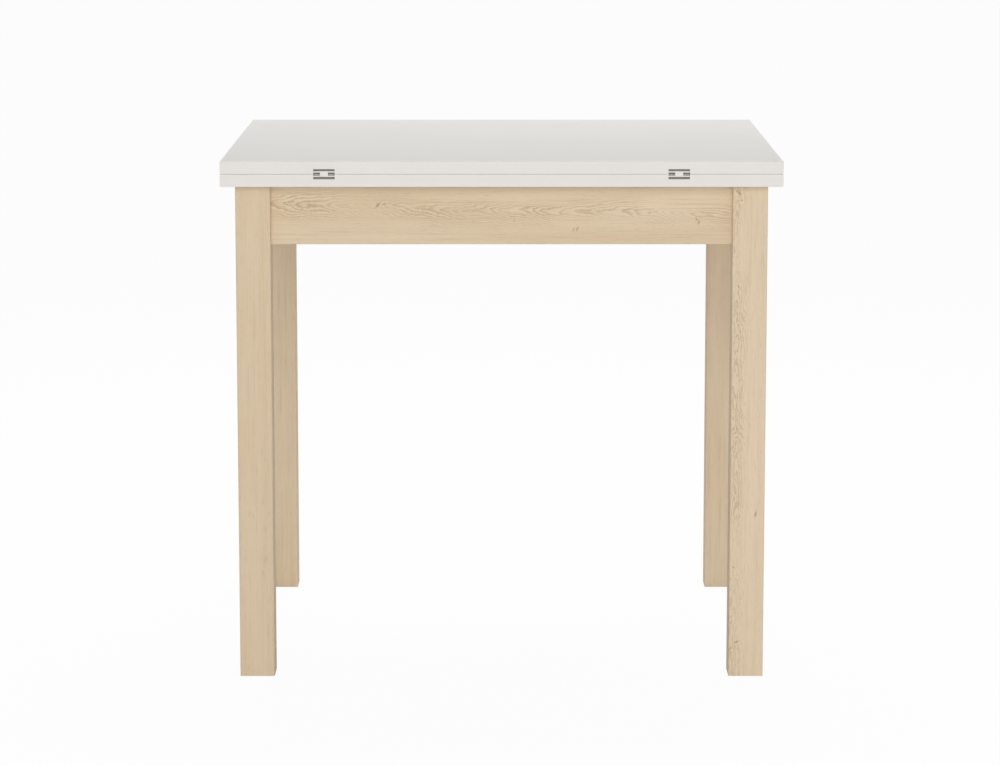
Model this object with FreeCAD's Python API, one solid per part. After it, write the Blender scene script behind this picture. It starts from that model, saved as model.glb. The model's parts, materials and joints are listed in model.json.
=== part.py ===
import FreeCAD, Part
import os
from math import sqrt

# Swivel extending table: a folded two-panel top that turns a quarter turn on an off-centre pivot,
# and then unfolds on two link hinges. Millimetres, +Z up, origin on the floor under the middle of the
# closed top. The hinged edge faces -Y, and +X is to the right of someone facing it.

# Table top
top_width = 800.0           # left to right, closed
top_depth = 700.0           # front to rear, closed
table_height = 755.0
panel_thickness = 18.0
edge_band = 2.0             # thickness of the strip on each edge of a panel
panel_arris = 0.8           # rounding of every panel edge
fold_gap = 0.4              # between the two folded panels

# Frame
top_overhang = 20.0         # of the top past the outer faces of the legs
leg_width = 50.0
leg_arris = 2.0
apron_height = 84.0
apron_thickness = 18.0
apron_setback = 10.0        # of the aprons behind the outer faces of the legs
apron_arris = 1.0

# Dowels between aprons and legs
dowel_radius = 4.0
dowel_length = 30.0
dowel_end_gap = 0.5
dowel_height_shares = (0.24, 0.76)      # of the apron's height

# Corner brackets and the hanger bolts that draw the legs in
bracket_height = 44.0
bracket_thickness = 2.0
bracket_drop = 4.0          # from the rail's lower face down to the brackets
bend_radius = 2.0           # inside the bends of the sheet-metal brackets
bracket_flange = 40.0
bracket_standoff = 9.0      # from the leg's bevel to the bracket
leg_bevel = 7.0             # depth of the bevel on the leg's inner corner
leg_bolt_radius = 4.0
leg_bolt_grip = 35.0        # length of the bolt inside the leg
leg_bolt_tail = 5.0         # length of the bolt past its nut
leg_washer_radius = 9.0
leg_washer_thickness = 1.6
leg_nut_flats = 13.0
leg_nut_height = 6.5
bracket_screw_shares = (0.22, 0.78)     # of the bracket's height

# Wood screws
screw_radius = 1.75
screw_length = 15.0
screw_head_radius = 3.6
screw_head_height = 2.2

# Pivot rail and its angle brackets
rail_width = 100.0
rail_thickness = 18.0
angle_width = 60.0
angle_leg = 40.0
angle_thickness = 2.0
angle_screw_shares = (0.2, 0.8)         # of the angle's width
angle_screw_reach_share = 0.6           # of the angle's leg

# Pivot
pivot_plate_side = 90.0
pivot_plate_thickness = 2.5
pivot_plate_corner = 6.0
pivot_screw_share = 0.72                # of the plate's half side
pivot_bolt_radius = 5.0
pivot_bolt_flats = 17.0
pivot_bolt_head = 6.4
pivot_bolt_tail = 3.0
pivot_nut_height = 10.0
pivot_washer_radius = 15.0
pivot_washer_thickness = 2.0
bush_wall = 3.0
bush_flange_radius = 15.0
bush_flange_thickness = 2.0

# Stop peg under the base panel
peg_radius = 5.0
peg_sunk = 10.0             # length of the peg inside the panel
peg_short = 2.0             # the peg ends this far above the rail's lower face
sleeve_wall = 2.5
sleeve_inset = 1.0          # of the sleeve from the end of the peg

# Slide pads on top of the frame
pad_thickness = 1.2
leg_pad_radius = 14.0
apron_pad_radius = 7.0

# Foot glides
glide_radius = 13.0
glide_thickness = 2.0
glide_bevel = 0.8
nail_radius = 1.2
nail_length = 18.0

# Link hinges
hinge_spacing = 504.0       # between the middles of the two hinges
hinge_width = 30.0
hinge_plate_length = 38.0   # from the panel's edge
hinge_plate_thickness = 2.0
hinge_plate_corner = 5.0
hinge_recess = 0.2          # of the plate below the panel's face
link_width = 11.6
pin_radius = 0.8
pin_depth = 3.0             # of the pin below the panel's face
pin_setback = 2.2           # of the pin behind the panel's edge
knuckle_radius = 1.3
throat_length = 7.0         # from the panel's edge back to where the plate rises to the face
tongue_depth = 1.9          # of the plate's lower part, before that, below the panel's face
tongue_lap = 3.0            # of the lower part under the raised one
trough_depth = 7.0          # of the notch that shows at the panel's edge
hinge_screw_radius = 1.5
hinge_screw_head = 3.0
hinge_screw_length = 14.0
hinge_screw_side_share = 0.6            # of half the plate's width
hinge_screw_row_shares = (0.42, 0.78)   # of the plate's length

# Clearances
running_fit = 0.05          # round a pin or bolt that turns, on the radius
seat_fit = 0.05             # round a fixed pin, dowel or screw, on the radius
slide_gap = 0.2             # between flat faces that slide past each other
stop_gap = 0.3              # between the stop sleeve and the rail
pocket_gap = 0.15           # round a hinge plate in its pocket
link_gap = 0.4              # between a link's end and what it turns in
overrun = 1.0               # of a cutter past the face that it cuts

# Levels, from the floor up
leaf_top = table_height
leaf_bottom = leaf_top - panel_thickness
base_top = leaf_bottom - fold_gap
base_bottom = base_top - panel_thickness
frame_top = base_bottom - slide_gap - pad_thickness
apron_bottom = frame_top - apron_height
leg_bottom = glide_thickness
plate_bottom = base_bottom - pivot_plate_thickness
rail_top = plate_bottom - slide_gap - bush_flange_thickness
rail_bottom = rail_top - rail_thickness
bolt_height = rail_bottom - bracket_drop - bracket_height / 2

# Places in plan
half_width = top_width / 2
half_depth = top_depth / 2
leg_outer_x = half_width - top_overhang
leg_outer_y = half_depth - top_overhang
leg_inner_x = leg_outer_x - leg_width
leg_inner_y = leg_outer_y - leg_width
apron_outer_x = leg_outer_x - apron_setback
apron_outer_y = leg_outer_y - apron_setback
apron_inner_x = apron_outer_x - apron_thickness
apron_inner_y = apron_outer_y - apron_thickness
apron_middle_x = (apron_outer_x + apron_inner_x) / 2
apron_middle_y = (apron_outer_y + apron_inner_y) / 2
pivot_x = -top_depth / 4
pivot_y = -top_depth / 4
angle_left = pivot_x + rail_width / 2 - angle_width
peg_offset = rail_width / 2 + peg_radius + sleeve_wall + stop_gap

V = FreeCAD.Vector
ORIGIN = V(0, 0, 0)
ALONG_X = V(1, 0, 0)
ALONG_Y = V(0, 1, 0)
UP = V(0, 0, 1)
DOWN = V(0, 0, -1)
DIAGONAL = V(1, 1, 0).normalize()

CORNERS = {
    "front_left": (-1, -1),
    "front_right": (1, -1),
    "rear_left": (-1, 1),
    "rear_right": (1, 1),
}
SIDES = {"left": -1, "right": 1}


# Small helpers

def block(x0, y0, z0, x1, y1, z1):
    """A box between two opposite corners."""
    return Part.makeBox(x1 - x0, y1 - y0, z1 - z0, V(x0, y0, z0))


def rod(radius, length, start, direction):
    """A round bar."""
    return Part.makeCylinder(radius, length, start, direction)


def ring(outer, inner, length, start, direction):
    """A washer or sleeve."""
    bore_start = start - direction * overrun
    return rod(outer, length, start, direction).cut(rod(inner, length + 2 * overrun, bore_start, direction))


def hexagon(flats, length, start, direction):
    """A six-sided bar, measured across its flats."""
    corner = flats / sqrt(3)
    outline = Part.makePolygon([V(corner, 0, 0)] + [
        FreeCAD.Rotation(UP, 60 * turn).multVec(V(corner, 0, 0)) for turn in range(1, 7)
    ])
    bar = Part.Face(outline).extrude(UP * length)
    bar.Placement = FreeCAD.Placement(start, FreeCAD.Rotation(UP, direction))
    return bar


def upright_edges(shape, wanted):
    """The straight edges along Z whose middle passes a test."""
    edges = []
    for edge in shape.Edges:
        span = edge.Vertexes[-1].Point - edge.Vertexes[0].Point
        if span.x == 0 and span.y == 0 and wanted(edge.CenterOfMass):
            edges.append(edge)
    return edges


def folded_strip(outline, along, thickness, outer_bends, inner_bends):
    """A sheet-metal bracket drawn out from its outline, with the numbered corners rounded as bends."""
    strip = Part.Face(Part.makePolygon(outline + outline[:1])).extrude(along)
    for bends, radius in ((outer_bends, bend_radius + thickness), (inner_bends, bend_radius)):
        middles = [outline[bend] + along / 2 for bend in bends]
        edges = [
            edge for edge in strip.Edges
            if any(edge.CenterOfMass.isEqual(middle, seat_fit) for middle in middles)
        ]
        strip = strip.makeFillet(radius, edges)
    return strip


def to_corner(shape, side_x, side_y):
    """Carry a shape from the rear right corner of the table to another corner."""
    if side_x < 0:
        shape = shape.mirror(ORIGIN, ALONG_X)
    if side_y < 0:
        shape = shape.mirror(ORIGIN, ALONG_Y)
    return shape


def every_corner(shape):
    """Copies of a shape in all four corners."""
    return [to_corner(shape, *signs) for signs in CORNERS.values()]


def without(shape, cutters):
    """A shape with several others cut out of it."""
    return shape.cut(Part.makeCompound(cutters))


def save(node, *solids):
    """Write a node, as one solid or as a group of separate ones."""
    shape = solids[0] if len(solids) == 1 else Part.makeCompound(solids)
    shape.exportStep("parts/" + node + ".step")


# Dowels, screws and their holes

def dowel_lines():
    """Middle and direction of each dowel in the rear right corner."""
    lines = []
    for share in dowel_height_shares:
        height = apron_bottom + apron_height * share
        lines.append((V(leg_inner_x, apron_middle_y, height), ALONG_X))
        lines.append((V(apron_middle_x, leg_inner_y, height), ALONG_Y))
    return lines


def dowels(extra_radius, extra_length):
    """The dowels of the rear right corner, or with extra size the holes for them."""
    length = dowel_length + extra_length
    return [
        rod(dowel_radius + extra_radius, length, middle - along * (length / 2), along)
        for middle, along in dowel_lines()
    ]


def pan_screw(seat, direction):
    """A screw whose round head sits on a face at seat, driven in direction."""
    head = rod(screw_head_radius, screw_head_height, seat - direction * screw_head_height, direction)
    return head.fuse(rod(screw_radius, screw_length, seat, direction)).removeSplitter()


def screw_hole(seat, direction):
    """Room for the shank of such a screw, through a plate and into the wood."""
    start = seat - direction * overrun
    return rod(screw_radius + seat_fit, screw_length + overrun + seat_fit, start, direction)


def flat_screw(seat, direction, radius, head_radius, length):
    """A countersunk screw with its head flush at seat."""
    head_height = head_radius - radius
    head = Part.makeCone(head_radius, radius, head_height, seat, direction)
    shank = rod(radius, length - head_height, seat + direction * head_height, direction)
    return head.fuse(shank).removeSplitter()


def flat_screw_hole(seat, direction, radius, head_radius, length):
    """Room for a countersunk screw, with its head's cone carried out past the face."""
    grown = radius + seat_fit
    head_height = head_radius - radius
    mouth = head_radius + seat_fit + overrun
    cone = Part.makeCone(mouth, grown, head_height + overrun, seat - direction * overrun, direction)
    return cone.fuse(rod(grown, length + seat_fit, seat, direction))


# Legs and aprons

def bevel_middle():
    """Middle of the bevel on the rear right leg, at the height of its bolt."""
    return V(leg_inner_x, leg_inner_y, bolt_height) + DIAGONAL * leg_bevel


def leg_bolt_line():
    """Inner end and length of the rear right hanger bolt, which runs towards the middle of the table."""
    outside = bracket_standoff + bracket_thickness + leg_washer_thickness + leg_nut_height + leg_bolt_tail
    return bevel_middle() + DIAGONAL * leg_bolt_grip, leg_bolt_grip + outside


def leg():
    """The rear right leg: a square post, bevelled inside where the bracket draws it in."""
    post = block(leg_inner_x, leg_inner_y, leg_bottom, leg_outer_x, leg_outer_y, frame_top)
    post = post.makeFillet(leg_arris, upright_edges(post, lambda middle: True))
    reach = leg_bevel * sqrt(2)
    corner = V(leg_inner_x - overrun, leg_inner_y - overrun, apron_bottom)
    bevel = Part.Face(Part.makePolygon([
        corner,
        corner + ALONG_X * (reach + 2 * overrun),
        corner + ALONG_Y * (reach + 2 * overrun),
        corner,
    ])).extrude(UP * (apron_height + overrun))
    start, length = leg_bolt_line()
    hole_start = start + DIAGONAL * dowel_end_gap
    bolt_hole = rod(leg_bolt_radius + seat_fit, length + dowel_end_gap, hole_start, -DIAGONAL)
    nail_hole = rod(nail_radius + seat_fit, nail_length + dowel_end_gap, leg_middle() + UP * leg_bottom, UP)
    return without(post, [bevel, bolt_hole, nail_hole] + dowels(seat_fit, dowel_end_gap))


def leg_middle():
    """Middle of the rear right leg at floor level."""
    return V((leg_inner_x + leg_outer_x) / 2, (leg_inner_y + leg_outer_y) / 2, 0)


def apron_holes():
    """Dowel and screw holes of all corners and of the rail's brackets."""
    holes = []
    for hole in dowels(seat_fit, dowel_end_gap) + [screw_hole(*line) for line in bracket_screw_lines()]:
        holes += every_corner(hole)
    for line in angle_screw_lines():
        holes += front_and_rear(screw_hole(*line))
    return holes


def apron(x0, y0, x1, y1):
    """An apron board between two legs, with its long lower edges eased."""
    board = block(x0, y0, apron_bottom, x1, y1, frame_top)
    lower = [edge for edge in board.Edges if edge.BoundBox.ZMax < bolt_height]
    lower.sort(key=lambda edge: edge.Length)
    return without(board.makeFillet(apron_arris, lower[-2:]), apron_holes())


# Corner brackets

def bracket_diagonal():
    """Sum of x and y on the face of the rear right bracket that is turned to the leg."""
    return leg_inner_x + leg_inner_y + sqrt(2) * (leg_bevel - bracket_standoff)


def bracket_screw_lines():
    """Seat and direction of each screw in the rear right corner bracket."""
    diagonal = bracket_diagonal()
    along_rear = diagonal - apron_inner_y - bracket_flange / 2
    along_right = diagonal - apron_inner_x - bracket_flange / 2
    lines = []
    for share in bracket_screw_shares:
        height = bolt_height + bracket_height * (share - 1 / 2)
        lines.append((V(along_rear, apron_inner_y - bracket_thickness, height), ALONG_Y))
        lines.append((V(apron_inner_x - bracket_thickness, along_right, height), ALONG_X))
    return lines


def corner_bracket():
    """The rear right bracket: two flanges on the aprons, and a diagonal across the corner."""
    outer_sum = bracket_diagonal()
    inner_sum = outer_sum - sqrt(2) * bracket_thickness
    rear = apron_inner_y
    right = apron_inner_x
    rear_in = rear - bracket_thickness
    right_in = right - bracket_thickness
    rear_end = outer_sum - rear - bracket_flange
    right_end = outer_sum - right - bracket_flange
    plan = [
        (rear_end, rear), (outer_sum - rear, rear), (right, outer_sum - right), (right, right_end),
        (right_in, right_end), (right_in, inner_sum - right_in),
        (inner_sum - rear_in, rear_in), (rear_end, rear_in),
    ]
    bottom = bolt_height - bracket_height / 2
    outline = [V(x, y, bottom) for x, y in plan]
    strip = folded_strip(outline, UP * bracket_height, bracket_thickness, (1, 2), (5, 6))
    start, length = leg_bolt_line()
    bolt_hole = rod(leg_bolt_radius + seat_fit, length, start, -DIAGONAL)
    return without(strip, [bolt_hole] + [screw_hole(*line) for line in bracket_screw_lines()])


def leg_bolt():
    """The hanger bolt of the rear right leg."""
    start, length = leg_bolt_line()
    return rod(leg_bolt_radius, length, start, -DIAGONAL)


def leg_washer():
    """The washer on that bolt, against the bracket."""
    seat = bevel_middle() - DIAGONAL * (bracket_standoff + bracket_thickness)
    return ring(leg_washer_radius, leg_bolt_radius + seat_fit, leg_washer_thickness, seat, -DIAGONAL)


def leg_nut():
    """The nut on that bolt, against the washer."""
    seat = bevel_middle() - DIAGONAL * (bracket_standoff + bracket_thickness + leg_washer_thickness)
    bore = rod(leg_bolt_radius + seat_fit, leg_nut_height, seat, -DIAGONAL)
    return hexagon(leg_nut_flats, leg_nut_height, seat, -DIAGONAL).cut(bore)


# Pivot rail

def front_and_rear(shape):
    """A shape made for the rear of the table, and its copy at the front."""
    return [shape.mirror(ORIGIN, ALONG_Y), shape]


def angle_screw_lines():
    """Seat and direction of each screw in the rear angle bracket."""
    reach = angle_leg * angle_screw_reach_share
    lines = []
    for share in angle_screw_shares:
        across = angle_left + angle_width * share
        lines.append((V(across, apron_inner_y - reach, rail_bottom - angle_thickness), UP))
        lines.append((V(across, apron_inner_y - angle_thickness, rail_bottom - reach), ALONG_Y))
    return lines


def angle_bracket():
    """The rear angle bracket: one leg under the rail, the other on the apron."""
    wall = apron_inner_y
    section = [
        (wall, rail_bottom), (wall, rail_bottom - angle_leg),
        (wall - angle_thickness, rail_bottom - angle_leg),
        (wall - angle_thickness, rail_bottom - angle_thickness),
        (wall - angle_leg, rail_bottom - angle_thickness), (wall - angle_leg, rail_bottom),
    ]
    outline = [V(angle_left, y, z) for y, z in section]
    angle = folded_strip(outline, ALONG_X * angle_width, angle_thickness, (0,), (3,))
    return without(angle, [screw_hole(*line) for line in angle_screw_lines()])


def pivot_rail():
    """The flat rail that carries the pivot, between the front and rear aprons."""
    half = rail_width / 2
    board = block(pivot_x - half, -apron_inner_y, rail_bottom, pivot_x + half, apron_inner_y, rail_top)
    seat = V(pivot_x, pivot_y, rail_bottom - overrun)
    cutters = [rod(bush_outer() + seat_fit, rail_thickness + 2 * overrun, seat, UP)]
    for line in angle_screw_lines():
        cutters += [hole for hole in front_and_rear(screw_hole(*line)) if line[1] == UP]
    return without(board, cutters)


# Pivot

def bush_outer():
    """Outer radius of the bush in the rail."""
    return pivot_bolt_radius + running_fit + bush_wall


def on_pivot(height):
    """A point of the pivot's axis."""
    return V(pivot_x, pivot_y, height)


def pivot_bush():
    """A flanged bush, set into the rail from above."""
    sleeve = rod(bush_outer(), rail_thickness, on_pivot(rail_bottom), UP)
    flange = rod(bush_flange_radius, bush_flange_thickness, on_pivot(rail_top), UP)
    bore_length = rail_thickness + bush_flange_thickness + 2 * overrun
    bore = rod(pivot_bolt_radius + running_fit, bore_length, on_pivot(rail_bottom - overrun), UP)
    return sleeve.fuse(flange).cut(bore).removeSplitter()


def pivot_screw_lines():
    """Seat and direction of each screw in the pivot plate."""
    reach = pivot_plate_side / 2 * pivot_screw_share
    return [(V(pivot_x + reach * sx, pivot_y + reach * sy, plate_bottom), UP) for sx, sy in CORNERS.values()]


def pivot_screws(make):
    """The screws of the pivot plate, or their holes."""
    return [
        make(seat, along, screw_radius, screw_head_radius, screw_length)
        for seat, along in pivot_screw_lines()
    ]


def pivot_plate():
    """The steel plate under the base panel that holds the head of the pivot bolt."""
    half = pivot_plate_side / 2
    plate = block(pivot_x - half, pivot_y - half, plate_bottom, pivot_x + half, pivot_y + half, base_bottom)
    plate = plate.makeFillet(pivot_plate_corner, upright_edges(plate, lambda middle: True))
    bolt_hole = rod(pivot_bolt_radius + seat_fit, pivot_plate_thickness + 2 * overrun,
                    on_pivot(plate_bottom - overrun), UP)
    return without(plate, [bolt_hole] + pivot_screws(flat_screw_hole))


def washer_top():
    """Level of the upper face of the washer under the rail."""
    return rail_bottom - slide_gap


def nut_top():
    """Level of the upper face of the lock nut."""
    return washer_top() - pivot_washer_thickness


def pivot_bolt():
    """The bolt that the top turns on, with its head between the plate and the panel."""
    end = nut_top() - pivot_nut_height - pivot_bolt_tail
    shank = rod(pivot_bolt_radius, base_bottom - end, on_pivot(end), UP)
    return hexagon(pivot_bolt_flats, pivot_bolt_head, on_pivot(base_bottom), UP).fuse(shank).removeSplitter()


def pivot_washer():
    """The wide washer under the rail."""
    bore = pivot_bolt_radius + seat_fit
    return ring(pivot_washer_radius, bore, pivot_washer_thickness, on_pivot(washer_top()), DOWN)


def pivot_nut():
    """The lock nut under the washer: a hexagon with a round collar."""
    collar = pivot_nut_height / 4
    body = hexagon(pivot_bolt_flats, pivot_nut_height - collar, on_pivot(nut_top()), DOWN)
    rim = rod(pivot_bolt_flats / 2, collar, on_pivot(nut_top() - pivot_nut_height), UP)
    bore_length = pivot_nut_height + 2 * overrun
    bore = rod(pivot_bolt_radius + seat_fit, bore_length, on_pivot(nut_top() + overrun), DOWN)
    return body.fuse(rim).cut(bore).removeSplitter()


def on_peg(height):
    """A point of the stop peg's axis, diagonally off the pivot."""
    return V(pivot_x + peg_offset, pivot_y - peg_offset, height)


def peg_bottom():
    """Level of the stop peg's lower end."""
    return rail_bottom + peg_short


def stop_peg():
    """The peg that meets the right side of the rail at both ends of the turn."""
    return rod(peg_radius, base_bottom + peg_sunk - peg_bottom(), on_peg(peg_bottom()), UP)


def stop_sleeve():
    """The soft sleeve on the peg."""
    start = peg_bottom() + sleeve_inset
    return ring(peg_radius + sleeve_wall, peg_radius + seat_fit, rail_top - start, on_peg(start), UP)


# Panels of the top

def panel_pieces(bottom, cutters):
    """The core and the four edge bands of one panel, with its cut-outs made."""
    top = bottom + panel_thickness
    slab = block(-half_width, -half_depth, bottom, half_width, half_depth, top)
    slab = without(slab.makeFillet(panel_arris, slab.Edges), cutters)
    core_x = half_width - edge_band
    core_y = half_depth - edge_band
    return {
        "panel": slab.common(block(-core_x, -core_y, bottom, core_x, core_y, top)),
        "edge_front": slab.common(block(-half_width, -half_depth, bottom, half_width, -core_y, top)),
        "edge_rear": slab.common(block(-half_width, core_y, bottom, half_width, half_depth, top)),
        "edge_left": slab.common(block(-half_width, -core_y, bottom, -core_x, core_y, top)),
        "edge_right": slab.common(block(core_x, -core_y, bottom, half_width, core_y, top)),
    }


def base_cutters():
    """Hinge pockets, pivot and peg holes of the base panel."""
    head_radius = pivot_bolt_flats / sqrt(3) + seat_fit
    head_room = rod(head_radius, pivot_bolt_head + slide_gap, on_pivot(base_bottom), UP)
    peg_hole = rod(peg_radius + seat_fit, peg_sunk + dowel_end_gap, on_peg(base_bottom), UP)
    return hinge_cutters(on_base) + [head_room, peg_hole] + pivot_screws(flat_screw_hole)


# Link hinges, made in the panel's own frame: its face at z = 0, its edge at y = 0, the wood below and behind

def on_base(shape, side):
    """Carry a hinge piece to the upper face of the base panel."""
    return shape.translated(V(hinge_spacing / 2 * side, -half_depth, base_top))


def on_leaf(shape, side):
    """Carry a hinge piece to the lower face of the leaf, upside down."""
    return shape.mirror(ORIGIN, UP).translated(V(hinge_spacing / 2 * side, -half_depth, leaf_bottom))


def plate_outline(grown, front, bottom, top):
    """A plate with its two rear corners rounded, grown sideways for a pocket."""
    half = hinge_width / 2 + grown
    rear = hinge_plate_length + grown
    plate = block(-half, front, bottom, half, rear, top)
    rear_edges = upright_edges(plate, lambda middle: middle.y > rear / 2)
    return plate.makeFillet(hinge_plate_corner + grown, rear_edges)


def hinge_screws(make):
    """The three screws of a hinge plate, or their holes."""
    side = hinge_width / 2 * hinge_screw_side_share
    near, far = (hinge_plate_length * share for share in hinge_screw_row_shares)
    seats = [V(-side, near, -hinge_recess), V(side, near, -hinge_recess), V(0, far, -hinge_recess)]
    return [make(seat, DOWN, hinge_screw_radius, hinge_screw_head, hinge_screw_length) for seat in seats]


def slot_rear():
    """How far behind the panel's edge the link's slot and the trough reach."""
    return pin_setback + knuckle_radius + link_gap


def hinge_plate():
    """A hinge plate that steps down to a knuckle on each side of the link's slot."""
    plate = plate_outline(0, throat_length, -hinge_recess - hinge_plate_thickness, -hinge_recess)
    half = hinge_width / 2
    tongue = block(-half, pin_setback, -tongue_depth - hinge_plate_thickness,
                   half, throat_length + tongue_lap, -tongue_depth)
    slot = link_width / 2 + slide_gap
    axis_start = V(-half, pin_setback, -pin_depth)
    barrel = rod(knuckle_radius, hinge_width, axis_start, ALONG_X)
    gap = block(-slot, -overrun, -pin_depth - knuckle_radius - overrun, slot, slot_rear(), overrun)
    bore = rod(pin_radius + seat_fit, hinge_width + 2 * overrun, axis_start - ALONG_X * overrun, ALONG_X)
    stepped = plate.fuse(tongue).fuse(barrel)
    return without(stepped, [gap, bore] + hinge_screws(flat_screw_hole)).removeSplitter()


def hinge_pin():
    """The pin through both knuckles of a plate and one eye of the link."""
    return rod(pin_radius, hinge_width, V(-hinge_width / 2, pin_setback, -pin_depth), ALONG_X)


def hinge_pocket():
    """The pocket for a plate, with a step for its lower part and a trough for its knuckles at the edge."""
    half = hinge_width / 2 + pocket_gap
    seat = plate_outline(pocket_gap, -overrun, -hinge_recess - hinge_plate_thickness, overrun)
    step_rear = throat_length + tongue_lap + pocket_gap
    step = block(-half, -overrun, -tongue_depth - hinge_plate_thickness, half, step_rear, overrun)
    return seat.fuse(step).fuse(block(-half, -overrun, -trough_depth, half, slot_rear(), overrun))


def hinge_cutters(place):
    """The pockets and screw holes of both hinges in one panel."""
    shapes = [hinge_pocket()] + hinge_screws(flat_screw_hole)
    return [place(shape, side) for side in SIDES.values() for shape in shapes]


def hinge_link(side):
    """The link between the two pins of a hinge, upright while the top is folded.

    Its eye for the leaf's pin is open at the end, because the leaf swings about one line between the
    panels, and its pin then runs out along the link and back in again.
    """
    left = hinge_spacing / 2 * side - link_width / 2
    middle = -half_depth + pin_setback
    low = base_top - pin_depth
    high = leaf_bottom + pin_depth
    eye = pin_radius + running_fit
    link = block(left, middle - knuckle_radius, low, left + link_width, middle + knuckle_radius, high)
    for level in (low, high):
        link = link.fuse(rod(knuckle_radius, link_width, V(left, middle, level), ALONG_X))
    for level in (low, high):
        start = V(left - overrun, middle, level)
        link = link.cut(rod(eye, link_width + 2 * overrun, start, ALONG_X))
    end = high + knuckle_radius + overrun
    mouth = block(left - overrun, middle - eye, high, left + link_width + overrun, middle + eye, end)
    return link.cut(mouth).removeSplitter()


# Pads and glides

def slide_pads():
    """Pads on the tops of the legs and on the middles of the aprons."""
    on_leg = rod(leg_pad_radius, pad_thickness, leg_middle() + UP * frame_top, UP)
    places = [V(0, side * apron_middle_y, frame_top) for side in SIDES.values()]
    places += [V(side * apron_middle_x, 0, frame_top) for side in SIDES.values()]
    return every_corner(on_leg) + [rod(apron_pad_radius, pad_thickness, place, UP) for place in places]


def foot_glide():
    """The nail-on glide under the rear right leg."""
    flat = glide_radius - glide_bevel
    sole = Part.makeCone(flat, glide_radius, glide_bevel, leg_middle(), UP)
    disc = rod(glide_radius, glide_thickness - glide_bevel, leg_middle() + UP * glide_bevel, UP)
    nail = rod(nail_radius, nail_length, leg_middle() + UP * glide_thickness, UP)
    return sole.fuse([disc, nail]).removeSplitter()


# Build

def build_frame():
    for name, signs in CORNERS.items():
        save("leg_" + name, to_corner(leg(), *signs))
        save("corner_bracket_" + name, to_corner(corner_bracket(), *signs))
        save("foot_glide_" + name, to_corner(foot_glide(), *signs))
    save("apron_front", apron(-leg_inner_x, -apron_outer_y, leg_inner_x, -apron_inner_y))
    save("apron_rear", apron(-leg_inner_x, apron_inner_y, leg_inner_x, apron_outer_y))
    save("apron_left", apron(-apron_outer_x, -leg_inner_y, -apron_inner_x, leg_inner_y))
    save("apron_right", apron(apron_inner_x, -leg_inner_y, apron_outer_x, leg_inner_y))
    save("apron_dowels", *[copy for dowel in dowels(0, 0) for copy in every_corner(dowel)])
    save("corner_bracket_screws",
         *[copy for line in bracket_screw_lines() for copy in every_corner(pan_screw(*line))])
    save("leg_bolts", *every_corner(leg_bolt()))
    save("leg_bolt_washers", *every_corner(leg_washer()))
    save("leg_bolt_nuts", *every_corner(leg_nut()))
    save("pivot_rail", pivot_rail())
    for name, angle in zip(("front", "rear"), front_and_rear(angle_bracket())):
        save("rail_bracket_" + name, angle)
    save("rail_bracket_screws",
         *[copy for line in angle_screw_lines() for copy in front_and_rear(pan_screw(*line))])
    save("pivot_bush", pivot_bush())
    save("slide_pads", *slide_pads())


def build_top():
    for name, piece in panel_pieces(base_bottom, base_cutters()).items():
        save("base_" + name, piece)
    save("pivot_plate", pivot_plate())
    save("pivot_plate_screws", *pivot_screws(flat_screw))
    save("pivot_bolt", pivot_bolt())
    save("pivot_washer", pivot_washer())
    save("pivot_nut", pivot_nut())
    save("stop_peg", stop_peg())
    save("stop_sleeve", stop_sleeve())


def build_leaf():
    for name, piece in panel_pieces(leaf_bottom, hinge_cutters(on_leaf)).items():
        save("leaf_" + name, piece)


def build_hinges():
    for panel, place in (("base", on_base), ("leaf", on_leaf)):
        for name, side in SIDES.items():
            save("hinge_" + panel + "_plate_" + name, place(hinge_plate(), side))
            save("hinge_" + panel + "_pin_" + name, place(hinge_pin(), side))
        save("hinge_" + panel + "_screws",
             *[place(screw, side) for side in SIDES.values() for screw in hinge_screws(flat_screw)])
    for name, side in SIDES.items():
        save("hinge_link_" + name, hinge_link(side))


os.makedirs("parts", exist_ok=True)
build_frame()
build_top()
build_leaf()
build_hinges()
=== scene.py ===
"""Finishes, small fasteners, light and camera for a swivel extending table. Metres."""

import json
import math
from dataclasses import dataclass

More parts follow.
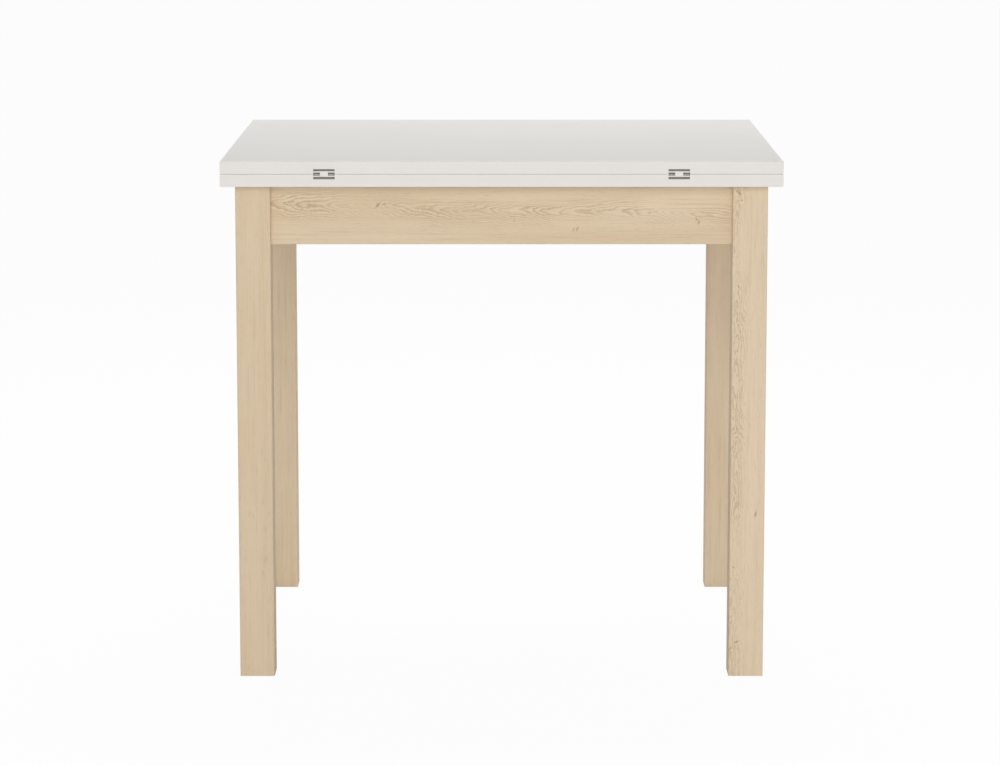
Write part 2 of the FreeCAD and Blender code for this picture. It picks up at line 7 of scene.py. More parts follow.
import bmesh
import bpy
import numpy as np
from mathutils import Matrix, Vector

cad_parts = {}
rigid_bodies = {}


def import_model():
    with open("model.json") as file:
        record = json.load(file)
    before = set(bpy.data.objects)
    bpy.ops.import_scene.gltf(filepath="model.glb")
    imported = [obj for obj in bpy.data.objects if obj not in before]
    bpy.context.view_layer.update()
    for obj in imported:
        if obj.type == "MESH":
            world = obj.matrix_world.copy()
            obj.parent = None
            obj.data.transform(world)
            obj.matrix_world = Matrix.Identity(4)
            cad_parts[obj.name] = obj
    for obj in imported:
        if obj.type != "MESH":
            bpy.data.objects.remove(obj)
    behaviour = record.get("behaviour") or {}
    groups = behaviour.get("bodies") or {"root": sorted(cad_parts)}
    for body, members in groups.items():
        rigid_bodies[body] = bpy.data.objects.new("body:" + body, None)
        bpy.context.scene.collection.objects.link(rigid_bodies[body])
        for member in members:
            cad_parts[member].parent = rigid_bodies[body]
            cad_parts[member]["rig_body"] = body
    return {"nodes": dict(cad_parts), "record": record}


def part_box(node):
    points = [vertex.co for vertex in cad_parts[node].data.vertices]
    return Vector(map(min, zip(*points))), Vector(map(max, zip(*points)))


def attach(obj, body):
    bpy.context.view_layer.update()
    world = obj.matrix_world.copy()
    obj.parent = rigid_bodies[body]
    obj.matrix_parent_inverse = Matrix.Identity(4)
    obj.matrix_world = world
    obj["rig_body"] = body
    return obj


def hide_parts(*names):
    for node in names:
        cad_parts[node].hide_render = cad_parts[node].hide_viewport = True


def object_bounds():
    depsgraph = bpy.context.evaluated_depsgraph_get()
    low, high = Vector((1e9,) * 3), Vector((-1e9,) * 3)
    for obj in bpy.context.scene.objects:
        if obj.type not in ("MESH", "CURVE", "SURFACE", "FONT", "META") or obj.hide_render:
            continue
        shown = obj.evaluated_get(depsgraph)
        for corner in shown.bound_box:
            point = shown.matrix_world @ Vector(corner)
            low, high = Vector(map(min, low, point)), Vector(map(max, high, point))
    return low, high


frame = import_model()
CAD_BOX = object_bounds()

MM = 0.001
WELD = 1e-6                     # points closer than this are one point

# Camera, fitted to the corners of the table in the picture
CAMERA_PLACE = (-0.0043, -5.443, 1.245)
CAMERA_PITCH = math.radians(9.007)      # below the horizon
CAMERA_PAN = -0.0004                    # to the right, in radians
CAMERA_LENS = 129.7                     # millimetres
CAMERA_SENSOR = 36.0
CAMERA_REACH = 100.0                    # metres

# Light: even from all round, a large lamp in front, and a smaller one above and behind
AMBIENT = 0.43                  # of the world on the object
KEY_PLACE = (0.2, -8.0, 2.4)
KEY_SIZE = (6.4, 4.4)
KEY_POWER = 292.0
KEY_TARGET = (0.0, -0.3, 0.5)
TOP_PLACE = (0.2, 1.6, 3.0)
TOP_SIZE = (2.2, 1.6)
TOP_POWER = 42.0
TOP_TARGET = (0.0, 0.0, 0.75)
FLOOR_HALF = 40.0
FLOOR_WHITE = 0.97
FLOOR_SHADOW_SHARE = 0.045      # of the floor's own shading that the camera sees


def linear(red, green, blue):
    """A colour given as eight-bit screen values, as shaders take it."""
    def lift(value):
        share = value / 255
        return share / 12.92 if share <= 0.04045 else ((share + 0.055) / 1.055) ** 2.4
    return lift(red), lift(green), lift(blue), 1.0


# Node trees


class Wire:
    """A value, vector or colour on its way through a node tree."""

    def __init__(self, graph, socket):
        self.graph = graph
        self.socket = socket

    def maths(self, operation, first, second=0.0):
        """The result of a Math node."""
        return self.graph.node("ShaderNodeMath", {"operation": operation}, {0: first, 1: second})

    def __add__(self, other):
        return self.maths("ADD", self, other)

    __radd__ = __add__

    def __sub__(self, other):
        return self.maths("SUBTRACT", self, other)

    def __rsub__(self, other):
        return self.maths("SUBTRACT", other, self)

    def __mul__(self, other):
        return self.maths("MULTIPLY", self, other)

    __rmul__ = __mul__

    def __truediv__(self, other):
        return self.maths("DIVIDE", self, other)

    def __rtruediv__(self, other):
        return self.maths("DIVIDE", other, self)

    def __pow__(self, other):
        return self.maths("POWER", self, other)

    def __neg__(self):
        return self.maths("MULTIPLY", self, -1.0)

    def __abs__(self):
        return self.maths("ABSOLUTE", self)

    def least(self, other):
        return self.maths("MINIMUM", self, other)

    def most(self, other):
        return self.maths("MAXIMUM", self, other)

    def fraction(self):
        return self.maths("FRACT", self)

    def exponent(self):
        return self.maths("EXPONENT", self)

    def ease(self, low, high):
        """From 0 at low to 1 at high, smoothly."""
        inputs = {"Value": self, "From Min": low, "From Max": high}
        return self.graph.node("ShaderNodeMapRange", {"interpolation_type": "SMOOTHSTEP"}, inputs)


class Graph:
    """A node tree that is built by calls."""

    def __init__(self, tree):
        self.tree = tree

    def feed(self, socket, value):
        """Link a wire to a socket, or each wire of a list, or set a plain value on it."""
        if isinstance(value, Wire):
            self.tree.links.new(value.socket, socket)
        elif isinstance(value, list):
            for wire in value:
                self.feed(socket, wire)
        else:
            socket.default_value = value

    def node(self, kind, settings=None, inputs=None, output=0):
        """A node of any kind, with its settings made before its sockets are fed."""
        made = self.tree.nodes.new(kind)
        for name, value in (settings or {}).items():
            setattr(made, name, value)
        for key, value in (inputs or {}).items():
            self.feed(made.inputs[key], value)
        return Wire(self, made.outputs[output])

    def vector(self, x, y, z):
        """Three values as one vector."""
        return self.node("ShaderNodeCombineXYZ", None, {"X": x, "Y": y, "Z": z})

    def axes(self, vector):
        """The three parts of a vector."""
        split = self.node("ShaderNodeSeparateXYZ", None, {0: vector}).socket.node
        return [Wire(self, socket) for socket in split.outputs]


class Finish(Graph):
    """A material with one main shader."""

    def __init__(self, name, **constants):
        self.material = bpy.data.materials.new(name)
        self.material.use_nodes = True
        super().__init__(self.material.node_tree)
        self.shader = self.tree.nodes["Principled BSDF"]
        for key, value in constants.items():
            self.shader.inputs[key.replace("_", " ")].default_value = value

    def place(self, middle=(0, 0, 0)):
        """Object coordinates, counted from a point."""
        place = self.node("ShaderNodeTexCoord", output="Object")
        offset = tuple(-part for part in middle)
        inputs = {"Vector": place, "Location": offset}
        return self.node("ShaderNodeMapping", {"vector_type": "POINT"}, inputs)

    def noise(self, vector, scale=1.0, detail=2.0, roughness=0.5, distortion=0.0):
        """A cloudy value round 0.5."""
        inputs = {"Vector": vector, "Scale": scale, "Detail": detail,
                  "Roughness": roughness, "Distortion": distortion}
        return self.node("ShaderNodeTexNoise", None, inputs)

    def cells(self, vector, scale):
        """A random value for each cell of a cracked pattern."""
        colour = self.node("ShaderNodeTexVoronoi", None, {"Vector": vector, "Scale": scale}, "Color")
        return self.axes(colour)[0]

    def blend(self, first, second, factor):
        """From the first colour to the second as the factor goes from 0 to 1."""
        settings = {"data_type": "RGBA", "blend_type": "MIX", "clamp_factor": True}
        return self.node("ShaderNodeMix", settings, {0: factor, 6: first, 7: second}, 2)

    def surface(self, colour, roughness, height, depth):
        """Feed the shader, with a height field from 0 to 1 that is so deep."""
        self.feed(self.shader.inputs["Base Color"], colour)
        self.feed(self.shader.inputs["Roughness"], roughness)
        bump = self.node("ShaderNodeBump", None, {"Strength": 1.0, "Distance": depth, "Height": height})
        self.feed(self.shader.inputs["Normal"], bump)
        return self.material


# Oak decor

OAK_PALE = linear(227, 208, 180)
OAK_MIDDLE = linear(213, 191, 161)
OAK_DEEP = linear(186, 162, 133)
OAK_PORE = linear(162, 135, 104)
OAK_TICK = linear(116, 90, 66)

LENGTHWISE = {"X": (0, 2, 1), "Y": (1, 2, 0), "Z": (2, 0, 1)}     # axes along, across and into a face
HEART_WANDER = 0.034            # how far the heart strays across the face
RING_DRIFT = 0.02               # how far the rings stray from round
MARK_WIDTH = 0.35               # of a mark's length
WEAR_STARTS = 2.4 * MM          # from an edge
WEAR_IS_FULL = 0.4 * MM
PORE_DEPTH = 0.08 * MM


@dataclass
class Grain:
    """How one piece was cut from its log, in metres from the middle of the piece."""

    along: str                  # the axis that the grain follows
    heart: float = 0.0          # across the face, to the middle of the figure
    depth: float = 0.006        # of the heart below the face
    slope: float = 0.0          # of the heart across the face, as it runs along the piece
    taper: float = -0.1         # of the log along the piece, which sets how far apart the tips are
    spacing: float = 0.0019     # between year rings
    ripple: float = 0.0036      # waviness of the rings
    spread: float = 0.022       # how far from the heart the figure is strong
    figure: float = 0.6         # strength of the rings
    tone: float = 0.5           # from pale to deep
    ticks: tuple = ()           # (along, across, half length, lean) of each small dark mark
    mark: float = 0.55          # strength of the marks
    seed: float = 0.0


def oak(node, grain):
    """Pale oak decor with year rings, streaks, pores and small marks, a little worn on its long edges."""
    finish = Finish("oak_" + node, Specular_IOR_Level=0.08)
    low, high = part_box(node)
    parts = finish.axes(finish.place((low + high) / 2))
    length, across, into = (parts[axis] for axis in LENGTHWISE[grain.along])
    half_across, half_into = ((high - low)[axis] / 2 for axis in LENGTHWISE[grain.along][1:])

    def stretched(along, sideways, shift=0.0):
        """Coordinates for noise that is drawn out along the grain."""
        return finish.vector(length * along + (grain.seed + shift), across * sideways, into * sideways)

    wander = finish.noise(stretched(3.2, 8.0), detail=3) - 0.5
    wave = finish.noise(stretched(44.0, 110.0, 3.0), detail=4, roughness=0.65) - 0.5
    offset = across - grain.heart - length * grain.slope + wander * HEART_WANDER
    heart_depth = into * 0.5 + (grain.depth + half_into * 0.5)
    drift = finish.noise(stretched(9.0, 20.0, 17.0), detail=2) - 0.5
    radius = (offset * offset + heart_depth * heart_depth) ** 0.5 + length * grain.taper
    ring = ((radius + wave * grain.ripple + drift * RING_DRIFT) / grain.spacing).fraction()
    dark_line = ring.ease(0.35, 0.88) * (1 - ring.ease(0.9, 1.0))
    pale_line = ring.ease(0.0, 0.1) * (1 - ring.ease(0.12, 0.4))
    nearness = (offset * offset / -(grain.spread ** 2)).exponent() * 0.88 + 0.12
    patches = finish.noise(stretched(9.0, 30.0, 7.0), detail=3).ease(0.38, 0.6)
    figure = nearness * (patches * 0.72 + 0.28) * grain.figure
    streaks = finish.noise(stretched(9.0, 380.0, 11.0), detail=4, roughness=0.65)
    bands = finish.noise(stretched(2.5, 60.0, 13.0), detail=3)
    pores = finish.noise(stretched(55.0, 1900.0, 5.0), detail=2).ease(0.6, 0.74)
    cloud = finish.noise(stretched(3.0, 18.0, 2.0), detail=3)

    tone = cloud.ease(0.3, 0.7) * 0.35 + bands.ease(0.3, 0.7) * 0.35 + (grain.tone - 0.35)
    colour = finish.blend(OAK_PALE, OAK_MIDDLE, tone)
    colour = finish.blend(colour, OAK_DEEP, dark_line * figure)
    colour = finish.blend(colour, OAK_PALE, pale_line * figure * 0.8)
    colour = finish.blend(colour, OAK_DEEP, streaks.ease(0.52, 0.8) * 0.5)
    colour = finish.blend(colour, OAK_PALE, streaks.ease(0.48, 0.2) * 0.4)
    colour = finish.blend(colour, OAK_PORE, pores * (dark_line * 0.5 + 0.35) * 0.6)
    for along, sideways, half, lean in grain.ticks:
        run, rise = length - along, across - sideways
        lengthwise = (run * math.cos(lean) + rise * math.sin(lean)) / half
        crosswise = (rise * math.cos(lean) - run * math.sin(lean)) / (half * MARK_WIDTH)
        mark = ((lengthwise * lengthwise + crosswise * crosswise) * -1.5).exponent()
        colour = finish.blend(colour, OAK_TICK, mark * grain.mark)
    edge = abs(across).ease(half_across - WEAR_STARTS, half_across - WEAR_IS_FULL)
    edge = edge * abs(into).ease(half_into - WEAR_STARTS, half_into - WEAR_IS_FULL)
    worn = edge * finish.noise(stretched(30.0, 60.0, 9.0), detail=4).ease(0.35, 0.7)
    colour = finish.blend(colour, OAK_PALE, worn * 0.5)
    roughness = streaks * 0.12 + (0.56 - worn * 0.08)
    height = 1 - pores * 0.7 - streaks.ease(0.45, 0.8) * 0.3
    return finish.surface(colour, roughness, height, PORE_DEPTH)


GRAINS = {
    "apron_front": Grain(
        "X", heart=0.007, depth=0.005, slope=-0.024, taper=-0.12, spacing=0.0027, ripple=0.0072,
        spread=0.02, figure=0.74, tone=0.42, seed=3.8, ticks=(
            (-0.285, 0.009, 0.002, 0.2), (-0.177, 0.014, 0.005, 0.8), (-0.168, 0.016, 0.003, 0.5),
            (0.103, -0.021, 0.003, 1.2), (0.108, -0.020, 0.004, 1.1), (0.279, -0.006, 0.003, 2.2),
            (0.282, -0.010, 0.004, 1.4), (0.018, -0.008, 0.002, 0.9))),
    "apron_rear": Grain("X", heart=-0.012, taper=0.09, seed=4.1, ticks=((0.12, 0.01, 0.004, 0.7),)),
    "apron_left": Grain("Y", heart=0.006, taper=0.08, seed=7.7, ticks=((-0.12, -0.012, 0.004, 1.0),)),
    "apron_right": Grain("Y", heart=-0.006, taper=-0.08, seed=9.3, ticks=((0.05, 0.014, 0.004, 0.6),)),
    "leg_front_left": Grain(
        "Z", heart=0.06, depth=0.03, taper=0.02, spread=0.034, figure=0.55, tone=0.6, seed=1.3, mark=0.13,
        ticks=(
            (-0.116, -0.009, 0.006, 0.1), (-0.120, -0.004, 0.005, -0.2), (-0.100, 0.010, 0.005, 0.3),
            (-0.140, 0.013, 0.006, -0.2), (-0.184, 0.014, 0.007, 0.25), (-0.205, 0.010, 0.005, -0.3))),
    "leg_front_right": Grain(
        "Z", heart=-0.017, depth=0.002, taper=0.09, spacing=0.0036, ripple=0.017, spread=0.012,
        figure=0.72, tone=0.1, seed=2.6, ticks=(
            (0.348, -0.016, 0.005, 2.3), (0.338, -0.013, 0.0025, 1.6), (0.214, -0.016, 0.003, 2.5),
            (-0.196, -0.019, 0.003, 2.2), (-0.307, -0.014, 0.004, 1.2), (-0.118, 0.012, 0.005, 0.2))),
    "leg_rear_left": Grain("Z", heart=-0.05, depth=0.03, taper=0.02, spread=0.03, figure=0.5, seed=5.2),
    "leg_rear_right": Grain("Z", heart=0.05, depth=0.03, taper=0.02, spread=0.03, figure=0.5, seed=8.4),
}


# Melamine panels, edging and other board

WHITE_FACE = linear(230, 228, 225)
WHITE_SHADE = linear(226, 224, 220)
WHITE_EDGE = linear(234, 229, 225)
# painted light on the edging, along the seam
SEAM_PAINTED_LIGHT = linear(253, 250, 247)
GLUE_LINE = linear(176, 168, 156)
CHIP_PALE = linear(190, 172, 148)
CHIP_DEEP = linear(132, 112, 90)
# painted shade on the chipboard of the hinge trough
TROUGH_SHADE_GREY = linear(152, 148, 144)

# Distances over which one look turns into the next
GLUE_FADES = (0.05 * MM, 0.35 * MM)         # from a panel's border
FACE_ENDS = (0.1 * MM, 0.25 * MM)           # below a panel's face
TROUGH_SHADE_REACH = (14.0 * MM, 10.0 * MM)       # painted shade in the hinge trough, behind a panel's front border
RUBBED_EDGE = (2.0 * MM, 0.6 * MM)          # from the upper or lower edge of the edging
SEAM_LIGHT_REACH = (1.1 * MM, 0.7 * MM)         # painted light, from the edge that meets the other panel


def chips(finish, place):
    """The colour and the height of pressed wood chips."""
    squashed = finish.node("ShaderNodeMapping", {"vector_type": "POINT"},
                           {"Vector": place, "Scale": (1.0, 1.0, 2.2)})
    flake = finish.cells(squashed, 420.0)
    fine = finish.noise(squashed, 1400.0, 3.0)
    return finish.blend(CHIP_PALE, CHIP_DEEP, flake * 0.7 + fine * 0.3), flake * 0.6 + fine * 0.4


def melamine(node):
    """Warm white faces with a fine satin texture, and bare chipboard in the cut-outs, greyed by painted
    shade in the hinge trough.
    """
    finish = Finish("melamine_" + node, Specular_IOR_Level=0.07)
    low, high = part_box(node)
    half = (high - low) / 2
    place = finish.place((low + high) / 2)
    x, y, z = finish.axes(place)
    cloud = finish.noise(place, 5.0, 3.0)
    peel = finish.noise(place, 1700.0, 2.0)
    handled = finish.noise(place, 14.0, 5.0, 0.6)
    border = (half.x - abs(x)).least(half.y - abs(y))
    glue = 1 - border.ease(*GLUE_FADES)
    inside = (half.z - abs(z)).ease(*FACE_ENDS)
    chip_colour, chip_height = chips(finish, place)
    colour = finish.blend(WHITE_FACE, WHITE_SHADE, cloud)
    colour = finish.blend(colour, GLUE_LINE, glue * 0.45)
    colour = finish.blend(colour, chip_colour, inside)
    # painted shade: the chipboard near the front border, in the hinge trough, is greyed
    painted_trough_shade = inside * (half.y + y).ease(*TROUGH_SHADE_REACH)
    colour = finish.blend(colour, TROUGH_SHADE_GREY, painted_trough_shade * 0.85)
    roughness = handled * 0.16 + 0.46 + inside * 0.3
    height = peel * 0.25 * (1 - inside) + chip_height * inside
    return finish.surface(colour, roughness, height, 0.09 * MM)


def edging(node):
    """Plastic edging: satin, with faint lines along it, and painted light where it meets the other panel's.
    """
    finish = Finish("edging_" + node, Specular_IOR_Level=0.3)
    low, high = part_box(node)
    place = finish.place((low + high) / 2)
    x, y, z = finish.axes(place)
    half_height = (high.z - low.z) / 2
    lines = finish.noise(finish.vector(x * 6.0, y * 6.0, z * 1500.0), 1.0, 3.0)
    cloud = finish.noise(place, 9.0, 3.0)
    rubbed = abs(z).ease(*(half_height - part for part in RUBBED_EDGE))
    rubbed = rubbed * finish.noise(place, 60.0, 4.0).ease(0.4, 0.7)
    colour = finish.blend(WHITE_EDGE, WHITE_SHADE, cloud * 0.6 + lines * 0.25)
    colour = finish.blend(colour, WHITE_FACE, rubbed * 0.5)
    towards_seam = z if node.startswith("base") else -z
    # painted light along the seam, which lifts its shade
    seam_painted_light = towards_seam.ease(*(half_height - part for part in SEAM_LIGHT_REACH))
    colour = finish.blend(colour, SEAM_PAINTED_LIGHT, seam_painted_light * 0.45)
    return finish.surface(colour, lines * 0.08 + 0.36 - rubbed * 0.1, lines, 0.02 * MM)


def rail_board():
    """The bare particle board of the pivot rail."""
    finish = Finish("rail_board", Specular_IOR_Level=0.2)
    place = finish.place()
    colour, height = chips(finish, place)
    stain = finish.noise(place, 12.0, 3.0)
    colour = finish.blend(colour, CHIP_PALE, stain.ease(0.3, 0.8) * 0.5)
    return finish.surface(colour, stain * 0.15 + 0.75, height, 0.15 * MM)


def beech():
    """Plain beech with its short dark flecks."""
    finish = Finish("beech", Specular_IOR_Level=0.3)
    x, y, z = finish.axes(finish.place())
    flecks = finish.noise(finish.vector(x * 700.0, y * 700.0, z * 2600.0), 1.0, 2.0).ease(0.58, 0.7)
    cloud = finish.noise(finish.place(), 120.0, 3.0)
    colour = finish.blend(linear(222, 190, 150), linear(206, 170, 128), cloud)
    colour = finish.blend(colour, linear(160, 118, 80), flecks * 0.6)
    return finish.surface(colour, cloud * 0.1 + 0.55, 1 - flecks, 0.04 * MM)


# Metals and small trim

# painted shading: the dull pale colour that sets how bright the shaded hinge throat looks
THROAT_SHADING_PAINT = linear(208, 206, 201)
HINGE_THROAT = (3.4 * MM, 7.1 * MM)     # behind the top's front edge, where the throat's shading is painted


def plated(name, pale, deep, roughness, spangle, lines, throat=None):
    """Plated steel: tone that shifts from cell to cell, and fine lines left by rolling.

    Between the two distances of the throat behind the top's front edge, it is painted dull and pale: painted
    shading that sets how bright the shaded throat looks.
    """
    finish = Finish(name, Metallic=1.0)
    place = finish.place()
    x, y, z = finish.axes(place)
    cell = finish.cells(place, spangle)
    cloud = finish.noise(place, 90.0, 4.0)
    rolled = finish.noise(finish.vector(x * lines, y * 40.0, z * lines), 1.0, 3.0)
    scratched = finish.noise(finish.vector(x * 60.0, y * 3000.0, z * 60.0), 1.0, 2.0).ease(0.66, 0.74)
    colour = finish.blend(pale, deep, cell * 0.25 + cloud * 0.3 + rolled.ease(0.45, 0.7) * 0.45)
    dulled = cloud * 0.14 + rolled * 0.08 + scratched * 0.15 + roughness
    if throat:
        # painted shading in the hinge throat: dull, pale and not metallic
        behind = y - CAD_BOX[0][1]
        throat_shading_paint = behind.ease(throat[0], throat[0] + 0.4 * MM) * behind.ease(throat[1] + 0.3 * MM, throat[1])
        throat_shading_paint = throat_shading_paint * (cloud * 0.2 + 0.8)
        colour = finish.blend(colour, THROAT_SHADING_PAINT, throat_shading_paint)
        dulled = dulled + throat_shading_paint * 0.5
        finish.feed(finish.shader.inputs["Metallic"], 1 - throat_shading_paint)
    return finish.surface(colour, dulled, rolled * 0.6 - scratched * 0.4 + 0.4, 0.012 * MM)


def zinc_steel():
    """Bright zinc plate."""
    return plated("zinc_steel", linear(206, 209, 212), linear(186, 188, 186), 0.22, 260.0, 900.0)


def nickel():
    """Satin nickel plate, with painted shading between the knuckles of the hinges."""
    return plated("nickel", linear(240, 238, 234), linear(214, 211, 205), 0.16, 700.0, 2200.0, HINGE_THROAT)


def moulded(name, pale, deep, roughness, grain):
    """Moulded plastic or rubber with a fine sparked grain."""
    finish = Finish(name, Specular_IOR_Level=0.4)
    place = finish.place()
    spark = finish.noise(place, grain, 2.0)
    cloud = finish.noise(place, 70.0, 3.0)
    colour = finish.blend(pale, deep, cloud * 0.6 + spark * 0.3)
    return finish.surface(colour, spark * 0.15 + roughness, spark, 0.03 * MM)


def nylon():
    """The natural nylon of the pivot's bush."""
    return moulded("nylon", linear(236, 234, 226), linear(222, 219, 208), 0.34, 1600.0)


def glide_plastic():
    """The moulded plastic of the foot glides."""
    return moulded("glide_plastic", linear(206, 194, 176), linear(186, 172, 152), 0.42, 1800.0)


def rubber():
    """The soft black sleeve of the stop peg."""
    return moulded("rubber", linear(52, 51, 50), linear(38, 37, 36), 0.7, 2200.0)


def felt():
    """Pressed felt: matted fibres in several browns."""
    finish = Finish("felt", Specular_IOR_Level=0.1, Sheen_Weight=0.4)
    place = finish.place()
    fibres = finish.noise(place, 900.0, 4.0, 0.7, 1.5)
    clumps = finish.noise(place, 220.0, 3.0)
    colour = finish.blend(linear(150, 139, 124), linear(104, 94, 81), fibres * 0.7 + clumps * 0.3)
    return finish.surface(colour, fibres * 0.1 + 0.86, fibres, 0.25 * MM)


def dress_nodes():
    """Give every CAD node the finish of its slot, and the figured pieces one of their own."""
    own = {"white_panel": melamine, "white_edge": edging}
    shared = {"rail_board": rail_board, "beech": beech, "zinc_steel": zinc_steel, "nickel": nickel,
              "nylon": nylon, "felt": felt, "glide_plastic": glide_plastic, "rubber": rubber}
    made = {}
    for subpart in frame["record"]["subparts"]:
        node, slot = subpart["node"], subpart["material_slot"]
        if node in GRAINS:
            material = oak(node, GRAINS[node])
        elif slot in own:
            material = own[slot](node)
        else:
            if slot not in made:
                made[slot] = shared[slot]()
            material = made[slot]
        mesh = frame["nodes"][node].data
        mesh.materials.clear()
        mesh.materials.append(material)
    return made


# Fasteners

END_SLICE = 0.1 * MM            # of a fastener, in which the radius of an end is measured
DOME_HEIGHT = 2.2 * MM          # of a screw's head that isn't countersunk
SCREW_PITCH = 0.9               # of the shank's radius
SCREW_THREAD = 0.16             # depth, of the shank's radius
SCREW_TIP = 0.35                # of the core's radius at the head
RECESS_ARM = 1.05               # of the head's radius
RECESS_WIDTH = 0.24             # of the arm's length
RECESS_DEPTH = 0.4              # of the head's radius
BOLT_PITCH = 1.25 * MM
BOLT_THREAD = 0.45 * MM
THREADED = 0.94                 # of the shank's length
SHARP_ANGLE = math.radians(35)


@dataclass
class Fastener:
    """One solid of a fastener node: the middle of its head's end, and the way it is driven."""

    end: Vector
    driven: Vector
    head_radius: float
    shank_radius: float
    length: float


def solids_of(node):
    """The points of each separate solid in a CAD node."""
    mesh = bmesh.new()
    mesh.from_mesh(frame["nodes"][node].data)
    bmesh.ops.remove_doubles(mesh, verts=mesh.verts, dist=WELD)
    mesh.verts.ensure_lookup_table()
    seen = set()
    found = []
    for start in mesh.verts:
        if start.index in seen:
            continue
        seen.add(start.index)
        group, waiting = [], [start]
        while waiting:
            point = waiting.pop()
            group.append(tuple(point.co))
            for edge in point.link_edges:
                other = edge.other_vert(point)
                if other.index not in seen:
                    seen.add(other.index)
                    waiting.append(other)
        found.append(np.array(group))
    mesh.free()
    return found


def measure(points):
    """A fastener's axis, ends and radii, from the points of its solid."""
    middle = (points.min(0) + points.max(0)) / 2
    axis = np.linalg.svd(points - points.mean(0), full_matrices=False)[2][0]
    along = (points - middle) @ axis
    off = np.linalg.norm(points - middle - np.outer(along, axis), axis=1)
    near = off[along < along.min() + END_SLICE].max()
    far = off[along > along.max() - END_SLICE].max()
    if far > near:
        axis, near, far = -axis, far, near
        along = -along
    end = middle + axis * along.min()
    return Fastener(Vector(end), Vector(axis), near, far, along.max() - along.min())


def group_inputs(tree, sockets):
    """Named inputs of a geometry tree, and the wires that come from them."""
    graph = Graph(tree)
    tree.interface.new_socket("Geometry", in_out="INPUT", socket_type="NodeSocketGeometry")
    for name, kind in sockets.items():
        tree.interface.new_socket(name, in_out="INPUT", socket_type="NodeSocket" + kind)
    tree.interface.new_socket("Geometry", in_out="OUTPUT", socket_type="NodeSocketGeometry")
    entry = tree.nodes.new("NodeGroupInput")
    return graph, {name: Wire(graph, entry.outputs[name]) for name in ["Geometry", *sockets]}


def threaded_shank(graph, wires, tip_share):
    """A core with a thread wound on it, along +Z from the origin."""
    core_radius = wires["Shank Radius"] - wires["Thread Depth"]
    core = graph.node("GeometryNodeMeshCone", {"fill_type": "NGON"}, {
        "Vertices": 16, "Radius Bottom": core_radius, "Radius Top": core_radius * tip_share,
        "Depth": wires["Shank Length"]})
    winding = graph.node("GeometryNodeCurveSpiral", None, {
        "Resolution": 18, "Rotations": wires["Shank Length"] / wires["Thread Pitch"] * THREADED,
        "Start Radius": core_radius, "End Radius": core_radius * tip_share,
        "Height": wires["Shank Length"] * THREADED})
    ridge = graph.node("GeometryNodeCurvePrimitiveCircle", {"mode": "RADIUS"}, {
        "Resolution": 4, "Radius": wires["Thread Depth"]})
    thread = graph.node("GeometryNodeCurveToMesh", None, {
        "Curve": winding, "Profile Curve": ridge, "Fill Caps": True})
    return [core, thread]


def on_points(graph, wires, shapes):
    """Copies of the shapes on every point, turned along its driven direction, as one mesh."""
    shape = graph.node("GeometryNodeJoinGeometry", None, {"Geometry": shapes})
    driven = graph.node("GeometryNodeInputNamedAttribute", {"data_type": "FLOAT_VECTOR"}, {"Name": "driven"})
    turned = graph.node("FunctionNodeAlignRotationToVector", {"axis": "Z"}, {"Vector": driven})
    copies = graph.node("GeometryNodeInstanceOnPoints", None, {
        "Points": wires["Geometry"], "Instance": shape, "Rotation": turned})
    real = graph.node("GeometryNodeRealizeInstances", None, {"Geometry": copies})
    finished = graph.node("GeometryNodeSetMaterial", None, {"Geometry": real, "Material": wires["Finish"]})
    graph.feed(graph.tree.nodes.new("NodeGroupOutput").inputs["Geometry"], finished)


SHANK_INPUTS = {"Shank Radius": "Float", "Shank Length": "Float", "Thread Pitch": "Float",
                "Thread Depth": "Float", "Finish": "Material"}
HEAD_INPUTS = {"Head Radius": "Float", "Head Height": "Float", "Recess Arm": "Float",
               "Recess Depth": "Float", "Countersunk": "Bool"}


